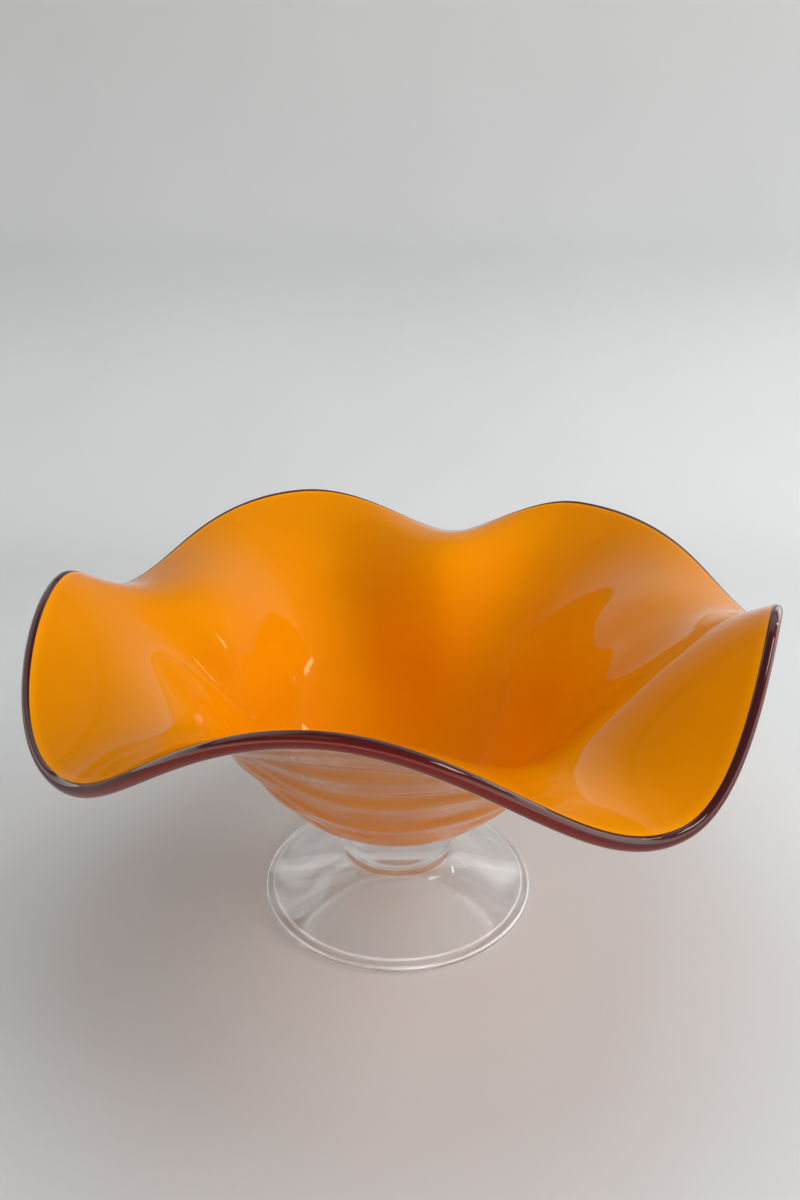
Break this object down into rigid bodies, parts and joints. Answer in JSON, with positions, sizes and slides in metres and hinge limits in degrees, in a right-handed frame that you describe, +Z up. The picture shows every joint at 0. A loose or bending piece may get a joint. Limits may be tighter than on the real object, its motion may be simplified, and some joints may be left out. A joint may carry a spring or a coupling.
{
  "type": "footed art glass bowl",
  "caption": "Hand-blown footed bowl with a wavy ruffled lip: orange glass cased in clear, a dark lip wrap and a clear flared foot.",
  "frame": {"origin": "on the surface the foot rests on, under the middle of the bowl's outline seen from above; the axis of the foot and of the bowl's round bottom stands 4.9 mm towards -X and 4.0 mm towards -Y of it", "axes": "+Z up, out of the bowl's mouth; -Y is the side with the tallest crest of the lip; +Y is the side that reaches furthest"},
  "size_m": [0.2944, 0.326, 0.1642],
  "materials": {
    "orange_glass": "opaque orange glass, fire-polished and glossy",
    "clear_casing_glass": "clear colourless casing over the orange, fire-polished",
    "amethyst_glass": "dark amethyst glass thread, nearly opaque, fire-polished",
    "clear_glass": "clear colourless glass, fire-polished, faintly wavy"
  },
  "bodies": {
    "root": {"orange_lining": "orange_glass", "clear_casing": "clear_casing_glass", "amethyst_lip_wrap": "amethyst_glass", "joining_pad": "clear_glass", "clear_foot": "clear_glass"}
  },
  "joints": []
}
